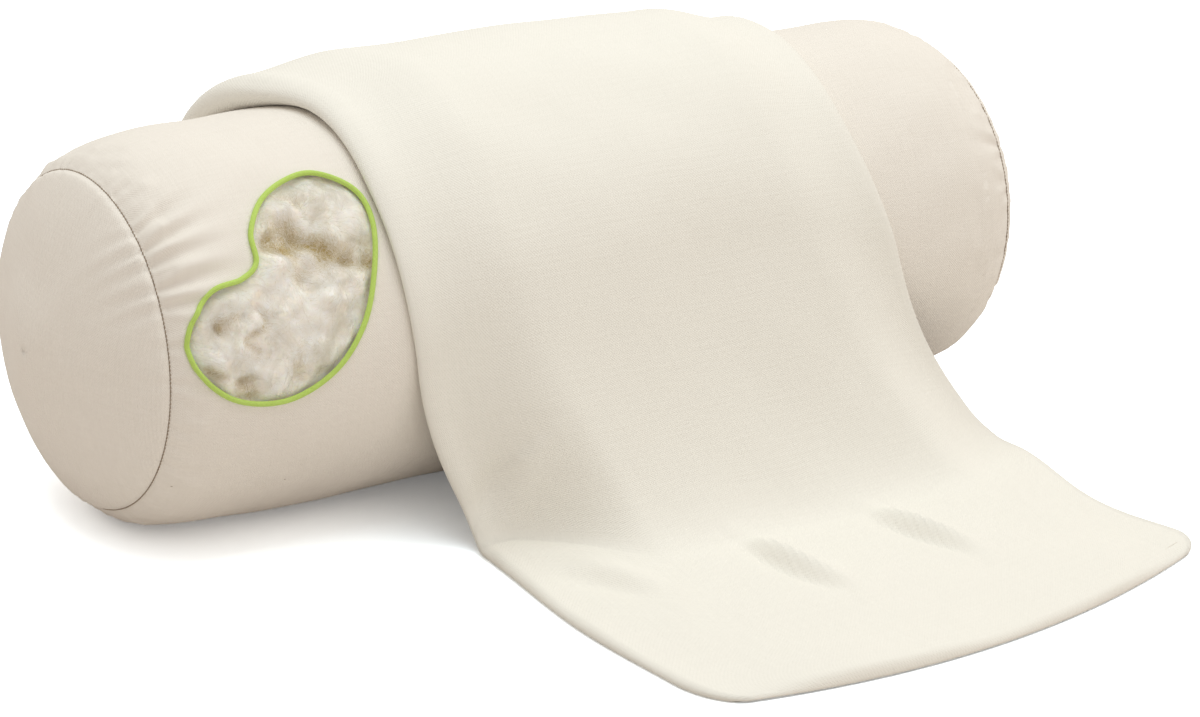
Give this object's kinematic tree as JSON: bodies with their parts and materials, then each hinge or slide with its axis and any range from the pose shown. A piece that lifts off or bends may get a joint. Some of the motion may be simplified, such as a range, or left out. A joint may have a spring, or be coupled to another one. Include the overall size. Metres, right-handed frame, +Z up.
{
  "type": "bolster pillow",
  "caption": "Round kapok-filled bolster with sewn end panels and a filling zip, and its empty removable cotton case laid over it and out along the floor.",
  "frame": {"origin": "middle of the flattened strip on the bolster's underside, on the surface it rests on", "axes": "+X along the bolster, +Z up, and -Y the side towards which the case runs out along the floor"},
  "size_m": [0.5884, 0.4369, 0.2133],
  "materials": {
    "casing_cotton": "natural undyed cotton, plain weave, matt",
    "end_cotton": "natural undyed cotton, fine rib, matt",
    "case_cotton": "natural undyed cotton jersey, matt",
    "kapok": "loose silky plant fibre",
    "binding": "lime green bias binding",
    "thread": "cotton sewing thread",
    "zip_tape": "woven cream tape",
    "zip_coil": "cream nylon coil",
    "zip_metal": "brushed nickel"
  },
  "bodies": {
    "bolster": {"casing_barrel": "casing_cotton", "casing_end_left": "end_cotton", "casing_end_right": "end_cotton", "seam_thread_left": "thread", "seam_thread_right": "thread", "kapok_filling": "kapok", "window_binding": "binding", "filling_zip_tape_upper": "zip_tape", "filling_zip_tape_lower": "zip_tape", "filling_zip_coil_upper": "zip_coil", "filling_zip_coil_lower": "zip_coil", "filling_zip_stop_left": "zip_metal", "filling_zip_stop_right": "zip_metal"},
    "filling_zip_runner": {"filling_zip_slider": "zip_metal"},
    "filling_zip_tab": {"filling_zip_pull": "zip_metal"},
    "case": {"case_sleeve": "case_cotton", "case_end_front": "case_cotton", "case_end_back": "case_cotton", "case_zip_tape_upper": "zip_tape", "case_zip_tape_lower": "zip_tape", "case_zip_coil_upper": "zip_coil", "case_zip_coil_lower": "zip_coil", "case_zip_stop_left": "zip_metal", "case_zip_stop_right": "zip_metal"},
    "case_zip_runner": {"case_zip_slider": "zip_metal"},
    "case_zip_tab": {"case_zip_pull": "zip_metal"}
  },
  "joints": [
    {"name": "case_lift", "type": "slide", "parent": "bolster", "child": "case", "axis": [0, 0, 1], "range_m": [0, 0.24]},
    {"name": "filling_zip_slide", "type": "slide", "parent": "bolster", "child": "filling_zip_runner", "axis": [1, 0, 0], "range_m": [0, 0.29]},
    {"name": "filling_zip_swing", "type": "hinge", "parent": "filling_zip_runner", "child": "filling_zip_tab", "pos_m": [-0.1455, 0.10082, 0.11855], "axis": [0, 0.1951, -0.9808], "range_deg": [-160, 0]},
    {"name": "case_zip_slide", "type": "slide", "parent": "case", "child": "case_zip_runner", "axis": [1, 0, 0], "range_m": [0, 0.23]},
    {"name": "case_zip_swing", "type": "hinge", "parent": "case_zip_runner", "child": "case_zip_tab", "pos_m": [-0.1145, 0.09338, 0.15343], "axis": [0, -0.848, -0.5299], "range_deg": [-80, 80]}
  ]
}
